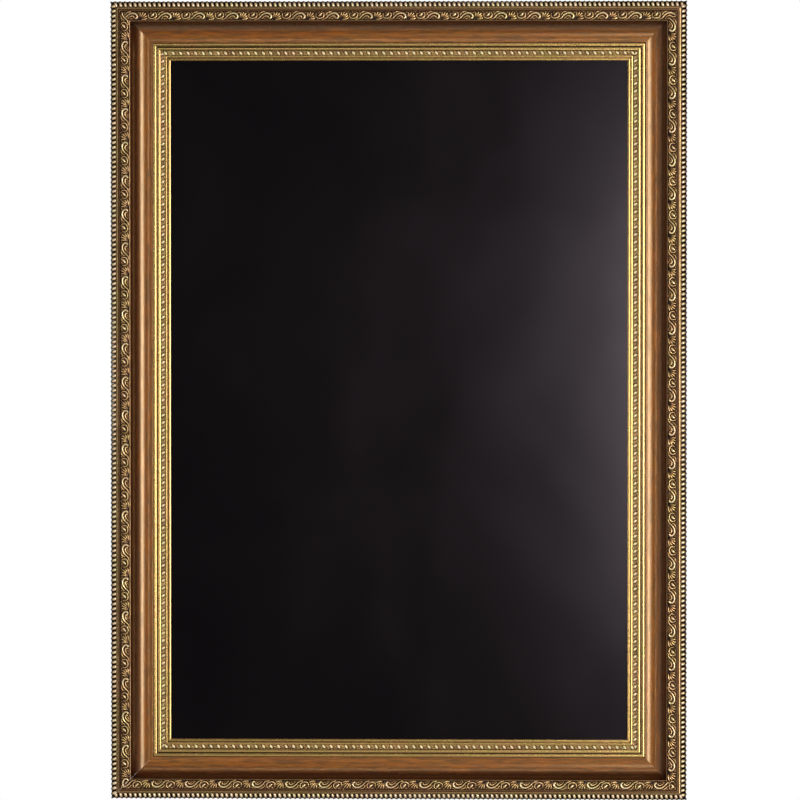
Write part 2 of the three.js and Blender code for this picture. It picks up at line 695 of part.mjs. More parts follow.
function hanger(name, x) {
  const group = new THREE.Group();
  group.position.set(x, -WALL_GAP + axisStandOff, ringAxisZ);
  group.add(piece(`hanger_ring_${name}`, dRing(), zincSteel()));
  group.add(piece(`hanger_strap_${name}`, hangerStrap(), zincSteel()));
  screwDrops.forEach((drop, i) => {
    const screw = woodScrew().translate(0, strapFace + SEAT_GAP - axisStandOff, -drop);
    group.add(piece(`hanger_screw_${name}_${i + 1}`, screw, zincSteel()));
  });
  return group;
}

// Rubber bumper along Y: its back lies by the rail and its small flat touches the wall.
function bumper(name, x) {
  const thickness = WALL_GAP - SEAT_GAP;
  const radius = BUMPER_DIAMETER / 2;
  const flat = BUMPER_FLAT / 2;
  const profile = [
    [0, 0],
    [radius, 0],
    [radius, thickness - (radius - flat)],
    [flat, thickness],
    [0, thickness],
  ];
  const dome = turned(profile, BUMPER_SIDES);
  dome.translate(x, -thickness, frameCentre - FRAME_HEIGHT / 2 + BUMPER_RISE);
  return piece(`wall_bumper_${name}`, dome, rubber());
}

const board = new THREE.Group();
board.position.set(0, -WALL_GAP, frameCentre);
sides.forEach((side) => board.add(frameSide(side)));
board.add(chalkPanel());

const chalkboard = new THREE.Group();
chalkboard.add(board);
for (const [name, sign] of [['left', -1], ['right', 1]]) {
  chalkboard.add(hanger(name, sign * hangerX));
  chalkboard.add(bumper(name, sign * hangerX));
}

export default chalkboard;
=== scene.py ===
import math

import bmesh
import bpy
import numpy as np
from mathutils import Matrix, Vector


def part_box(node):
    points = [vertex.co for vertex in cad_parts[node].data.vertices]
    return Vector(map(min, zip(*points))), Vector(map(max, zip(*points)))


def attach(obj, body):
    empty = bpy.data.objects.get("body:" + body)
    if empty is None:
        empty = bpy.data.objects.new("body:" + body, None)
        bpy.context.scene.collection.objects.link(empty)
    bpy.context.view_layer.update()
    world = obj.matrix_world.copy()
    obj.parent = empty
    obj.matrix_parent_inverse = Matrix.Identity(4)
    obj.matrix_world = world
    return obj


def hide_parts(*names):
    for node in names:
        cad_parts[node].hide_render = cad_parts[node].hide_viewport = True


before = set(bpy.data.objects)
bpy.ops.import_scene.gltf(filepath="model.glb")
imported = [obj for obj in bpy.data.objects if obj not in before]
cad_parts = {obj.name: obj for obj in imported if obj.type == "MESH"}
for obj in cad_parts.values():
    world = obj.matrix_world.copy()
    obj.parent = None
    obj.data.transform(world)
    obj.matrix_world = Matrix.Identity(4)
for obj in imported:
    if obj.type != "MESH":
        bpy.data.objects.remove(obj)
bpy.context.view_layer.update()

# Measures
# A rail is drawn as [s, u, v] in mm: s along it, u inwards from the frame's outer edge, v forwards from the
# rails' back. The sides follow each other clockwise, and s runs clockwise too. A fourth value, hollow, says
# how deep in the relief a point lies, from 0 on a crest to 1 in a gap, and the materials are coloured by it:
# darker towards the gaps and lighter on the crests. That colouring is partly dirt and stain in the hollows,
# and partly painted shade in the gaps and painted highlights on the crests.

MM = 0.001
SIDES = ("top", "right", "bottom", "left")
MITRE_GAP, SEAT_GAP = 0.08, 0.3

BEAD_ROW_WIDTH = 7.3
FILLET_WIDTH, FILLET_HEIGHT = 1.6, 31.8
QUIRK_HEIGHT, QUIRK_GAP, QUIRK_EDGE = 30.0, 0.3, 0.1
QUIRK_BAND_WIDTH, QUIRK_BAND_RISE = 2.0, 0.7
LIP_WIDTH, LIP_FALL = 1.1, 1.7
LIP_EASE, LIP_EDGE, LIP_OVERHANG = 0.15, 0.5, 0.1
SCOOP_WIDTH, SCOOP_RADIUS, SCOOP_DROP, SCOOP_SHADE = 23.0, 16.6, 0.2, 1.6
NOSE_WIDTH = 0.7
REBATE_WIDTH, REBATE_HEIGHT = 6.0, 15.7
EDGE_ROUND = 0.8

SHADOW_GAP = 0.4
SLIP_FILLET_WIDTH, SLIP_CHANNEL_WIDTH, SLIP_BEAD_ROW_WIDTH = 3.8, 1.0, 5.2
RIDGE_WIDTH, SIGHT_GROOVE_WIDTH, SIGHT_LIP_WIDTH = 2.2, 1.2, 2.6
SLIP_CHANNEL_HEIGHT, SLIP_BEAD_SEAT_HEIGHT = 17.6, 15.4
RIDGE_HEIGHT, SIGHT_GROOVE_HEIGHT, SIGHT_LIP_HEIGHT = 17.4, 14.6, 16.2

# A crown is a band's fall to its outer foot, its fall to its inner one, and its peak as a share of its width.
FILLET_CROWN, QUIRK_BAND_CROWN = (0.3, 0.3, 0.85), (0.5, 0.5, 0.4)
SLIP_FILLET_CROWN, RIDGE_CROWN, SIGHT_LIP_CROWN = (0.6, 0.36, 0.5), (0.4, 0.4, 0.65), (0.3, 0.34, 0.3)
# How hollow a band's feet are: the gilding darkens towards them, which is painted shade.
FOOT_HOLLOW = 0.6
# The nose's points: how far before the rail's inner edge, how far below the scoop's end, and hollow, which
# darkens the walnut over the nose's edge as painted shade.
NOSE = ((0.35, 0, 0), (0.1, 0.15, 0.2), (0, 0.5, 0.6))

BEAD_PITCH, BEAD_LEAN = 5.47, math.radians(20)
BEAD_HALF_LENGTH, BEAD_HALF_WIDTH, BEAD_DEPTH, BEAD_TILT = 3.6, 2.1, 3.0, 0.35
BEAD_BASE_RISE, BEAD_BASE_EDGE, BEAD_BASE_SLOPE_END = 2.0, 1.2, 2.0
BEAD_RIM_WIDTH, BEAD_RIM_EDGE, BEAD_RIM_RISE, BEAD_BASE_OVERRUN = 1.5, 0.1, 0.3, 1.0
SCROLL_PERIOD, SCROLL_BASE, SCROLL_SPACING = 37.8, 1.1, (0.45, 0.42)
SCROLL_START = {"top": -12.0, "right": -20.0, "bottom": -7.0, "left": 6.0}
SLIP_BEAD_PITCH, SLIP_BEAD_BASE, SLIP_BEAD_SPACING = 8.5, 0.4, (0.4, 0.4)
# The ground's waves: how many to a repeat, and the mm across the strip that each takes.
GROUND_WAVES = ((5, 3.1), (9, -2.3))
# The share of the relief that is left at a strip's border, and how far before its inner corner a strip begins
# to lean into the mitre.
BORDER_SHARE, STRIP_END = 0.3, 1.0

BOARD_EASE, WORN_EDGE = 0.4, 0.12
RING_CORNER, RING_BUTT = 2.5, 0.2
HEAD_HEIGHT = 1.6
SHANK_PROFILE = [(0.1, -12), (0.7, -10.2), (1.5, -8.5), (1.5, -0.1)]
HEAD_PROFILE = [(2.8, 0), (3, 0.25), (2.9, 0.7), (2.4, 1.2), (1.6, 1.5), (0.9, HEAD_HEIGHT)]
RECESS_REACH, RECESS_HALF, RECESS_DEPTH, RECESS_TAPER, RECESS_CLEAR = 1.5, 0.32, 1.0, 0.55, 1.0
BUMPER_FOOT = [(5.6, 0), (5.95, 0.4)]
BUMPER_RADIUS, BUMPER_WALL, BUMPER_DOME = 6.0, 1.2, (1.8, 3.5)


def corners(*nodes):
    """Lowest and highest corner of some CAD nodes together."""
    boxes = [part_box(node) for node in nodes]
    return np.min([low for low, _ in boxes], axis=0), np.max([high for _, high in boxes], axis=0)


outer_low, outer_high = corners(*("outer_beads_" + side for side in SIDES))
frame_width = (outer_high[0] - outer_low[0]) / MM
frame_height = (outer_high[2] - outer_low[2]) / MM
frame_centre = (outer_low + outer_high) / 2
back_y = corners("rail_top")[1][1]


def band(name):
    """Outer and inner inset, back and front height of a top-side node, in mm."""
    low, high = corners(name + "_top")
    return (
        (outer_high[2] - high[2]) / MM,
        (outer_high[2] - low[2]) / MM,
        (back_y - high[1]) / MM,
        (back_y - low[1]) / MM,
    )


edge_inset, rail_inner, _, lip_height = band("rail")
_, _, bead_seat, bead_crown = band("outer_beads")
scroll_outer, scroll_inner, scroll_seat, scroll_crown = band("scroll")
slip_outer, sight_edge, slip_back, slip_crown = band("slip")
_, _, slip_bead_seat, slip_bead_crown = band("slip_beads")
scoop_end = rail_inner - NOSE_WIDTH
scoop_start = scoop_end - SCOOP_WIDTH
lip_start = scoop_start - LIP_WIDTH
bead_inner = BEAD_ROW_WIDTH - SEAT_GAP
fillet_start = BEAD_ROW_WIDTH
quirk_start = fillet_start + FILLET_WIDTH
quirk_band_start = quirk_start + QUIRK_GAP
quirk_band_end = quirk_band_start + QUIRK_BAND_WIDTH
quirk_band_height = QUIRK_HEIGHT + QUIRK_BAND_RISE
rebate_wall = rail_inner - REBATE_WIDTH
slip_start = rail_inner + SHADOW_GAP
channel_start = slip_start + SLIP_FILLET_WIDTH
inner_fillet_start = channel_start + SLIP_CHANNEL_WIDTH
slip_bead_start = inner_fillet_start + SLIP_FILLET_WIDTH
ridge_start = slip_bead_start + SLIP_BEAD_ROW_WIDTH
groove_start = ridge_start + RIDGE_WIDTH
sight_lip_start = groove_start + SIGHT_GROOVE_WIDTH
slip_bead_outer, slip_bead_inner = slip_bead_start + SEAT_GAP, ridge_start - SEAT_GAP


def length_of(side):
    return frame_height if SIDES.index(side) % 2 else frame_width


def reach_at(side, u):
    """How far a rail reaches from its middle at inset u, up to the gap in the mitre."""
    return length_of(side) / 2 - u - MITRE_GAP / math.sqrt(2)


def placed(side, s, u, v):
    """Rail points as places in the row frame, in metres."""
    turn = SIDES.index(side)
    reach = (frame_width if turn % 2 else frame_height) / 2
    along, up = s, reach - u
    x, z = ((along, up), (up, -along), (-along, -up), (-up, along))[turn]
    return np.stack(
        [frame_centre[0] + x * MM, back_y - v * MM, frame_centre[2] + z * MM], axis=-1
    )


# Meshes


def make_object(name, points, faces, slots=None, materials=(), sharp=40):
    """A mesh object, with its faces turned outwards, smooth except at edges sharper than the angle given."""
    mesh = bpy.data.meshes.new(name)
    mesh.from_pydata(points, [], faces)
    if slots is not None:
        mesh.polygons.foreach_set("material_index", np.asarray(slots, np.int32))
    mesh.polygons.foreach_set("use_smooth", np.ones(len(mesh.polygons), bool))
    bm = bmesh.new()
    bm.from_mesh(mesh)
    bmesh.ops.recalc_face_normals(bm, faces=bm.faces)
    bm.to_mesh(mesh)
    bm.free()
    mesh.set_sharp_from_angle(angle=math.radians(sharp))
    for material in materials:
        mesh.materials.append(material)
    made = bpy.data.objects.new(name, mesh)
    bpy.context.scene.collection.objects.link(made)
    return made


def tube_faces(rings, sides):
    """The faces round a tube whose points are given ring by ring, and then its two ends."""
    faces = []
    for ring in range(rings - 1):
        a, b = ring * sides, (ring + 1) * sides
        for k in range(sides):
            after = (k + 1) % sides
            faces.append((a + k, b + k, b + after, a + after))
    last = (rings - 1) * sides
    return faces + [tuple(range(sides)), tuple(range(last + sides - 1, last - 1, -1))]


def store(mesh, name, kind, values):
    """Keeps a value for each vertex, where the materials read it."""
    key = "vector" if kind == "FLOAT_VECTOR" else "value"
    layer = mesh.attributes.new(name, kind, "POINT")
    layer.data.foreach_set(key, np.asarray(values, np.float32).ravel())


def rail_object(name, side, s, u, v, hollow, faces, slots=None, materials=(), sharp=40):
    """A mesh given as rail points. Its materials read place, the rail point in m, and hollow."""
    s, u, v = (np.asarray(x, float) for x in (s, u, v))
    made = make_object(name, placed(side, s, u, v), faces, slots, materials, sharp)
    store(made.data, "place", "FLOAT_VECTOR", np.stack([s, u, v], -1) * MM)
    store(made.data, "hollow", "FLOAT", hollow)
    return made


def moulding(name, side, runs):
    """A section carried along a rail and mitred. A run is (material, [(u, v, hollow), ...]). Its material is
    on the faces that lead to its points, and the first run's is on the ends too."""
    materials = list(dict.fromkeys(material for material, _ in runs))
    section = [point for _, run in runs for point in run]
    slots = [materials.index(material) for material, run in runs for _ in run]
    u, v, hollow = (np.array(x) for x in zip(*section))
    reach = reach_at(side, u)
    return rail_object(
        name,
        side,
        np.concatenate([-reach, reach]),
        np.tile(u, 2),
        np.tile(v, 2),
        np.tile(hollow, 2),
        tube_faces(2, len(section)),
        slots[1:] + slots[:1] + [slots[0]] * 2,
        materials,
    )


def crowned(start, width, height, crown, steps=8):
    """A band that falls from its crown to both its feet, with a slope that steepens. Its hollow grows towards
    the feet, where it darkens the gilding as painted shade.
    """
    *falls, peak = crown
    points = []
    for k in range(steps + 1):
        share = k / steps
        inwards = share >= peak
        away = (share - peak) / (1 - peak) if inwards else (peak - share) / peak
        points.append((start + width * share, height - falls[inwards] * away**2, FOOT_HOLLOW * away**2))
    return points


def lip_curve(steps=6):
    """The lip rolls over into the scoop: its crown is on the outer side."""
    crown_u = lip_start + LIP_EASE
    roll = LIP_WIDTH - LIP_EASE + LIP_OVERHANG
    # The lip is coloured light on its crown and dark at its outer edge and down its roll into the scoop:
    # painted shade.
    edge_hollow, crown_hollow, end_hollow = 0.7, 0.2, 0.8
    points = [(lip_start, lip_height - LIP_EDGE, edge_hollow), (crown_u, lip_height, crown_hollow)]
    for k in range(1, steps + 1):
        angle = math.pi / 2 * k / steps
        height = lip_height - LIP_FALL * (1 - math.cos(angle))
        hollow = crown_hollow + (end_hollow - crown_hollow) * k / steps
        points.append((crown_u + roll * math.sin(angle), height, hollow))
    return points


def scoop_curve(steps=48):
    """An arc: upright under the lip, lowest past its middle and rising to the nose. Its hollow runs from 1
    under the lip to 0 on the floor, and darkens the walnut under the lip: partly a stain, partly painted
    shade."""
    centre = scoop_start + SCOOP_RADIUS
    first = math.asin((LIP_FALL + SCOOP_DROP) / SCOOP_RADIUS)
    last = math.acos((centre - scoop_end) / SCOOP_RADIUS)
    points = []
    for k in range(steps + 1):
        angle = first + (last - first) * k / steps
        across, down = SCOOP_RADIUS * math.cos(angle), SCOOP_RADIUS * math.sin(angle)
        points.append((centre - across, lip_height - down, max(math.cos(angle), 0) ** SCOOP_SHADE))
    return points


def relief_strip(name, side, edges, seat, base, heights, spacing, phase, material):
    """A carved strip between two insets, on a flat back. heights(s, u) gives the relief in mm over the strip
    and how hollow a place is."""
    outer, inner = edges
    rows = round((inner - outer) / spacing[1]) + 1
    columns = round(2 * reach_at(side, outer) / spacing[0]) + 1
    line = np.linspace(-reach_at(side, outer), reach_at(side, outer), columns)[:, None]
    u = np.linspace(outer, inner, rows)[None, :]
    plain = reach_at(side, inner) - STRIP_END
    share = (reach_at(side, u) - plain) / (reach_at(side, outer) - plain)
    mitred = np.sign(line) * (plain + (np.abs(line) - plain) * share)
    s = np.where(np.abs(line) > plain, mitred, line)
    u = np.broadcast_to(u, s.shape)
    rise, hollow = heights(s - phase, u - outer)
    grid = np.arange(s.size).reshape(s.shape)
    sheet = np.stack([grid[:-1, :-1], grid[:-1, 1:], grid[1:, 1:], grid[1:, :-1]], -1)
    rim = np.concatenate([grid[:, 0], grid[-1, 1:], grid[-2::-1, -1], grid[0, -2:0:-1]])
    foot = s.size + np.arange(len(rim))
    skirt = np.stack([rim, np.roll(rim, -1), np.roll(foot, -1), foot], -1)
    faces = np.concatenate([sheet.reshape(-1, 4), skirt]).tolist() + [foot.tolist()]
    s, u, rise, hollow = s.ravel(), u.ravel(), rise.ravel(), hollow.ravel()
    return rail_object(
        name,
        side,
        np.concatenate([s, s[rim]]),
        np.concatenate([u, u[rim]]),
        np.concatenate([seat + base + rise, np.full(len(rim), seat)]),
        np.concatenate([hollow, np.ones(len(rim))]),
        faces,
        materials=[material],
        sharp=180,
    )


# Carved ornament
# A stroke is a path of [along, across] in mm, then its half-width and its rise at start, middle and end.


def flow(points, count=40):
    """A smooth line through some points."""
    points = np.array([points[0], *points, points[-1]], float)
    spans = len(points) - 3
    t = np.linspace(0, spans, count)
    k = np.minimum(t.astype(int), spans - 1)
    f = (t - k)[:, None]
    a, b, c, d = (points[k + i] for i in range(4))
    return 0.5 * (2 * b + (c - a) * f + (2 * a - 5 * b + 4 * c - d) * f**2 + (3 * b - a - 3 * c + d) * f**3)


def relief_tile(strokes, period, width, ground, wave, moat, shoulders, cell=0.2):
    """The relief over one repeat, as a function that reads it anywhere on a strip. A stroke lies over those
    before it, set off by a moat. Between them is a waved ground, and the borders are rounded over."""
    columns, rows = round(period / cell), round(width / cell) + 1
    along = np.arange(columns) * period / columns
    across = np.linspace(0, width, rows)
    x, y = np.meshgrid(along, across, indexing="ij")
    waves = sum(np.sin(2 * math.pi * (count * x / period + y / length)) for count, length in GROUND_WAVES)
    tile = ground * (1 + wave * waves)
    for path, half, rise in strokes:
        share = np.linspace(0, 2, len(path))
        halves = np.interp(share, [0, 1, 2], half)
        rises = np.interp(share, [0, 1, 2], rise)
        bed, back = np.ones_like(tile), np.zeros_like(tile)
        for (px, py), w, h in zip(path, halves, rises):
            gap = (x - px + period / 2) % period - period / 2
            away = np.hypot(gap, y - py)
            bed = np.minimum(bed, np.clip((away - w) / moat, 0, 1))
            back = np.maximum(back, h * np.sqrt(np.maximum(1 - (away / w) ** 2, 0)))
        tile = np.maximum(tile * bed, back)
    # Hollows are taken before the borders are rounded: they darken the gilding between the strokes and
    # lighten their tops, painted shade and painted highlights, partly over dirt.
    hollows = 1 - tile / tile.max()
    over = np.clip(np.minimum(across / shoulders[0], (width - across) / shoulders[1]), 0, 1)
    tile *= BORDER_SHARE + (1 - BORDER_SHARE) * np.sqrt(1 - (1 - over) ** 2)

    def heights(s, u):
        column = (s / period % 1) * columns
        row = np.clip(u / width, 0, 1) * (rows - 1)
        i, j = column.astype(int) % columns, np.minimum(row.astype(int), rows - 2)
        share_i, share_j = column - np.floor(column), row - j
        after = (i + 1) % columns

        def read(values):
            here = (1 - share_j) * values[i, j] + share_j * values[i, j + 1]
            beyond = (1 - share_j) * values[after, j] + share_j * values[after, j + 1]
            return (1 - share_i) * here + share_i * beyond

        return read(tile), read(hollows)

    return heights


def raised(strokes, deep):
    """Strokes whose rises are given as shares of that depth."""
    return [(path, half, [deep * h for h in rise]) for path, half, rise in strokes]


def acanthus():
    """One repeat: a bud in its volute, a wave that rises into nested arches and a fanned leaf."""
    leaf = []
    for k, tip in enumerate([(23.6, 1.2), (26.9, 1), (29.8, 2), (31.4, 4.4), (31.8, 7.4)]):
        heart, bow = (22.6 + 0.6 * k, 9), (0.6, 0.4 * k - 1)
        bend = ((heart[0] + tip[0]) / 2 + bow[0], (heart[1] + tip[1]) / 2 + bow[1])
        leaf.append((flow([heart, bend, tip]), (0.8, 1.2, 0.8), (0.6, 0.85, 0.7)))
    volute = [(1, 0.6), (3.4, 1.6), (4.3, 4.2), (3, 6.9), (-0.4, 8.2), (-3.8, 7.2), (-5.2, 4.8), (-4.4, 2.2)]
    shoot = [(6.2, 4.4), (8, 1.8), (10.8, 0.7), (13.6, 0.3)]
    inner_arch = [(9.2, 9), (11.6, 6.4), (14.2, 5.2), (16.5, 5.9), (17, 7.9)]
    wave = [(1.4, 9.6), (6, 8.1), (9, 4.9), (12.5, 2.6), (16.5, 2.1), (19.7, 3.9), (20.3, 6.6), (18.8, 8)]
    bud = [(-1.8, 5.4), (0, 3.9), (1.5, 2.2)]
    strokes = leaf + [
        (flow(volute, 80), (0.6, 1.0, 0.8), (0.7, 0.9, 0.6)),
        (flow(shoot), (0.7, 0.9, 0.5), (0.7, 0.8, 0.6)),
        (flow(inner_arch, 50), (0.6, 1.0, 1.0), (0.65, 0.85, 0.85)),
        (flow(wave, 90), (0.8, 1.3, 1.4), (0.7, 1.0, 0.95)),
        (flow(bud), (0.9, 1.6, 0.9), (0.85, 1.0, 0.9)),
    ]
    return raised(strokes, scroll_crown - scroll_seat - SCROLL_BASE)


def slip_beading():
    """One repeat of the slip's row: a leaning bead, and between beads a sunk panel with a ridge in it."""
    middle = (slip_bead_inner - slip_bead_outer) / 2
    ridge_reach, ridge_lean = 1.6, 0.5
    bead_reach, bead_lean = middle - 1, 0.9
    t = np.linspace(-1, 1, 25)
    ridge = np.stack([SLIP_BEAD_PITCH / 2 + ridge_reach * t, middle - ridge_lean * t], -1)
    bead = np.stack([bead_lean * t, middle + bead_reach * t], -1)
    strokes = [
        (ridge, (0.4, 0.7, 0.4), (0.4, 0.55, 0.4)),
        (bead, (1.2, 1.8, 1.2), (0.9, 1.0, 0.9)),
    ]
    return raised(strokes, slip_bead_crown - slip_bead_seat - SLIP_BEAD_BASE)


def egg(segments=14, rings=10, fullness=0.8):
    """An egg of radius 1 with its poles on the second axis, as points and faces."""
    points = [(0, -1, 0)]
    for ring in range(1, rings):
        angle = math.pi * ring / rings
        across = math.sin(angle) ** fullness
        for k in range(segments):
            turn = 2 * math.pi * k / segments
            points.append((across * math.cos(turn), -math.cos(angle), across * math.sin(turn)))
    points.append((0, 1, 0))
    last = 1 + (rings - 2) * segments
    faces = []
    for k in range(segments):
        after = (k + 1) % segments
        faces.append((0, 1 + k, 1 + after))
        for ring in range(rings - 2):
            a, b = 1 + ring * segments, 1 + (ring + 1) * segments
            faces.append((a + k, b + k, b + after, a + after))
        faces.append((last + k, len(points) - 1, last + after))
    return np.array(points), faces


def cut_mitres(made, side):
    """Cuts an object at its side's two mitre planes and closes it there."""
    bm = bmesh.new()
    bm.from_mesh(made.data)
    origin = placed(side, 0, 0, 0)
    for end in (-1, 1):
        bmesh.ops.bisect_plane(
            bm,
            geom=bm.verts[:] + bm.edges[:] + bm.faces[:],
            dist=1e-7,
            plane_co=placed(side, end * reach_at(side, 0), 0, 0),
            plane_no=placed(side, end, 1, 0) - origin,
            clear_outer=True,
        )
        bmesh.ops.holes_fill(bm, edges=[edge for edge in bm.edges if edge.is_boundary])
    bm.to_mesh(made.data)
    bm.free()


def bead_row(name, side, material):
    """The outer row: leaning eggs on a low strip, cut by the mitres."""
    ball, ball_faces = egg()
    middle = bead_inner / 2
    span = 2 * reach_at(side, middle)
    count = round(span / BEAD_PITCH)
    step = span / count
    lean_s, lean_u = math.sin(BEAD_LEAN), math.cos(BEAD_LEAN)
    long, wide = ball[:, 1] * BEAD_HALF_LENGTH, ball[:, 0] * BEAD_HALF_WIDTH
    s_ball = long * lean_s + wide * lean_u
    u_ball = middle + long * lean_u - wide * lean_s
    heart = bead_crown - math.hypot(BEAD_DEPTH, BEAD_TILT * BEAD_HALF_LENGTH)
    v_ball = np.maximum(heart + ball[:, 2] * BEAD_DEPTH + long * BEAD_TILT, bead_seat)
    places = (np.arange(-1, count + 1) - (count - 1) / 2) * step
    # The base strip's hollows are given place by place: dark at its outer edge and between the eggs, light on
    # its inner rim, which paints shade and a highlight on it.
    base = [(edge_inset, 0, 1), (edge_inset, BEAD_BASE_EDGE, 1), (BEAD_BASE_SLOPE_END, BEAD_BASE_RISE, 0.7)]
    base += [(bead_inner - BEAD_RIM_WIDTH, BEAD_BASE_RISE, 0.4)]
    base += [(bead_inner - BEAD_RIM_EDGE, BEAD_BASE_RISE + BEAD_RIM_RISE, 0.14)]
    base += [(bead_inner, BEAD_BASE_RISE, 0.4), (bead_inner, 0, 1)]
    base_u, base_v, base_hollow = (np.array(x) for x in zip(*base))
    base_v = base_v + bead_seat
    base_reach = reach_at(side, base_u) + BEAD_BASE_OVERRUN
    s = np.concatenate([(places[:, None] + s_ball).ravel(), -base_reach, base_reach])
    u = np.concatenate([np.tile(u_ball, len(places)), base_u, base_u])
    v = np.concatenate([np.tile(v_ball, len(places)), base_v, base_v])
    faces = []
    for k in range(len(places)):
        faces += [tuple(i + k * len(ball) for i in face) for face in ball_faces]
    faces += [tuple(i + len(places) * len(ball) for i in face) for face in tube_faces(2, len(base))]
    # The eggs are coloured lighter towards their tops: a painted highlight on the crowns and painted shade
    # lower down.
    ball_hollow = np.clip((bead_crown - v_ball) / (bead_crown - bead_seat), 0, 1)
    hollow = np.concatenate([np.tile(ball_hollow, len(places)), base_hollow, base_hollow])
    made = rail_object(name, side, s, u, v, hollow, faces, materials=[material], sharp=70)
    cut_mitres(made, side)
    return made


# Finishes


def colour(red, green, blue):
    """A shader colour, given as it reads in a picture, from 0 to 255."""
    return tuple(((c / 255 + 0.055) / 1.055) ** 2.4 for c in (red, green, blue)) + (1.0,)


class Finish:
    """A material's nodes, joined by short calls. A value is a number, a colour or another node's output."""

    def __init__(self, name, **settings):
        self.material = bpy.data.materials.new(name)
        self.material.use_nodes = True
        self.tree = self.material.node_tree
        self.tree.nodes.clear()
        self.shader = self.tree.nodes.new("ShaderNodeBsdfPrincipled")
        output = self.tree.nodes.new("ShaderNodeOutputMaterial")
        self.tree.links.new(self.shader.outputs[0], output.inputs[0])
        for socket, value in settings.items():
            self.set(socket.replace("_", " "), value)

    def set(self, socket, value):
        self.feed(self.shader.inputs[socket], value)

    def feed(self, socket, value):
        if isinstance(value, bpy.types.NodeSocket):
            self.tree.links.new(value, socket)
        else:
            socket.default_value = value

    def attribute(self, name, output):
        node = self.tree.nodes.new("ShaderNodeAttribute")
        node.attribute_name = name
        return node.outputs[output]

    def place(self):
        return self.attribute("place", "Vector")

    def hollow(self):
        return self.attribute("hollow", "Fac")

    def object_place(self):
        return self.tree.nodes.new("ShaderNodeTexCoord").outputs["Object"]

    def noise(self, place, waves, detail=4.0, roughness=0.55, distortion=0.0):
        """Noise with that many waves a metre, or with three such numbers, one for each axis."""
        mapping = self.tree.nodes.new("ShaderNodeMapping")
        self.feed(mapping.inputs["Vector"], place)
        mapping.inputs["Scale"].default_value = waves if isinstance(waves, tuple) else (waves,) * 3
        node = self.tree.nodes.new("ShaderNodeTexNoise")
        self.feed(node.inputs["Vector"], mapping.outputs[0])
        node.inputs["Scale"].default_value = 1.0
        node.inputs["Detail"].default_value = detail
        node.inputs["Roughness"].default_value = roughness
        node.inputs["Distortion"].default_value = distortion
        return node.outputs["Fac"]

    def math(self, operation, a, b, clamp=False):
        node = self.tree.nodes.new("ShaderNodeMath")
        node.operation = operation
        node.use_clamp = clamp
        self.feed(node.inputs[0], a)
        self.feed(node.inputs[1], b)
        return node.outputs[0]

    def spread(self, value, low, high, to_low=0.0, to_high=1.0):
        """Carries low to high over to to_low to to_high, and no further."""
        node = self.tree.nodes.new("ShaderNodeMapRange")
        for socket, number in zip(node.inputs, (value, low, high, to_low, to_high)):
            self.feed(socket, number)
        return node.outputs[0]

    def ramp(self, value, *stops):
        """Colours by value. A stop is its place from 0 to 1, then its red, green and blue from 0 to 255."""
        node = self.tree.nodes.new("ShaderNodeValToRGB")
        elements = node.color_ramp.elements
        while len(elements) < len(stops):
            elements.new(0.5)
        for element, (at, *tone) in zip(elements, stops):
            element.position = at
            element.color = colour(*tone)
        self.feed(node.inputs[0], value)
        return node.outputs[0]

    def mix(self, share, a, b, blend="MIX"):
        """Two colours mixed. The node names several sockets alike, so its colour sockets go by number."""
        colour_a, colour_b, colour_result = 6, 7, 2
        node = self.tree.nodes.new("ShaderNodeMix")
        node.data_type = "RGBA"
        node.blend_type = blend
        self.feed(node.inputs["Factor"], share)
        self.feed(node.inputs[colour_a], a)
        self.feed(node.inputs[colour_b], b)
        return node.outputs[colour_result]

    def bump(self, height, distance):
        node = self.tree.nodes.new("ShaderNodeBump")
        node.inputs["Distance"].default_value = distance
        self.feed(node.inputs["Height"], height)
        self.set("Normal", node.outputs[0])


VARNISH_TINT, VARNISH_ROUGHNESS = colour(255, 246, 224), 0.2
MOTTLE, DIRT, SMOOTHER, ROUGHER, SPECK_DEPTH = 0.08, 0.4, 0.06, 0.1, 0.000008


def gilding(name, tones, metallic, roughness, varnish=0.0, wear=1.0):
    """Gilding coloured by hollow: bright on the crests, partly rubbed and partly a painted highlight, and
    dark in the hollows, partly dirt and partly painted shade. It has olive and rosy patches.
    """
    finish = Finish(name, Metallic=metallic, Coat_Weight=varnish, Coat_Tint=VARNISH_TINT)
    finish.set("Coat Roughness", VARNISH_ROUGHNESS)
    patches = finish.noise(finish.place(), 90, 5)
    specks = finish.noise(finish.place(), 900, 3)
    age = finish.noise(finish.place(), 40, 3)
    mottle = finish.spread(patches, 0.3, 0.7, -MOTTLE * wear, MOTTLE * wear)
    # The hollow, shifted by the mottle, picks the colour: dirt and painted shade towards the gaps, painted
    # highlight on the crests.
    dirt_and_shade = finish.math("ADD", finish.hollow(), mottle, clamp=True)
    tint = finish.ramp(age, (0.35, 255, 238, 226), (0.65, 248, 246, 216))
    dirt = finish.math("MULTIPLY", finish.spread(specks, 0.62, 0.72), DIRT * wear)
    tone = finish.mix(dirt, finish.ramp(dirt_and_shade, *tones), colour(*tones[-1][1:]))
    finish.set("Base Color", finish.mix(1.0, tone, tint, "MULTIPLY"))
    smooth, rough = roughness - SMOOTHER * wear, roughness + ROUGHER * wear
    finish.set("Roughness", finish.spread(patches, 0.3, 0.7, smooth, rough))
    finish.bump(specks, SPECK_DEPTH * wear)
    return finish.material


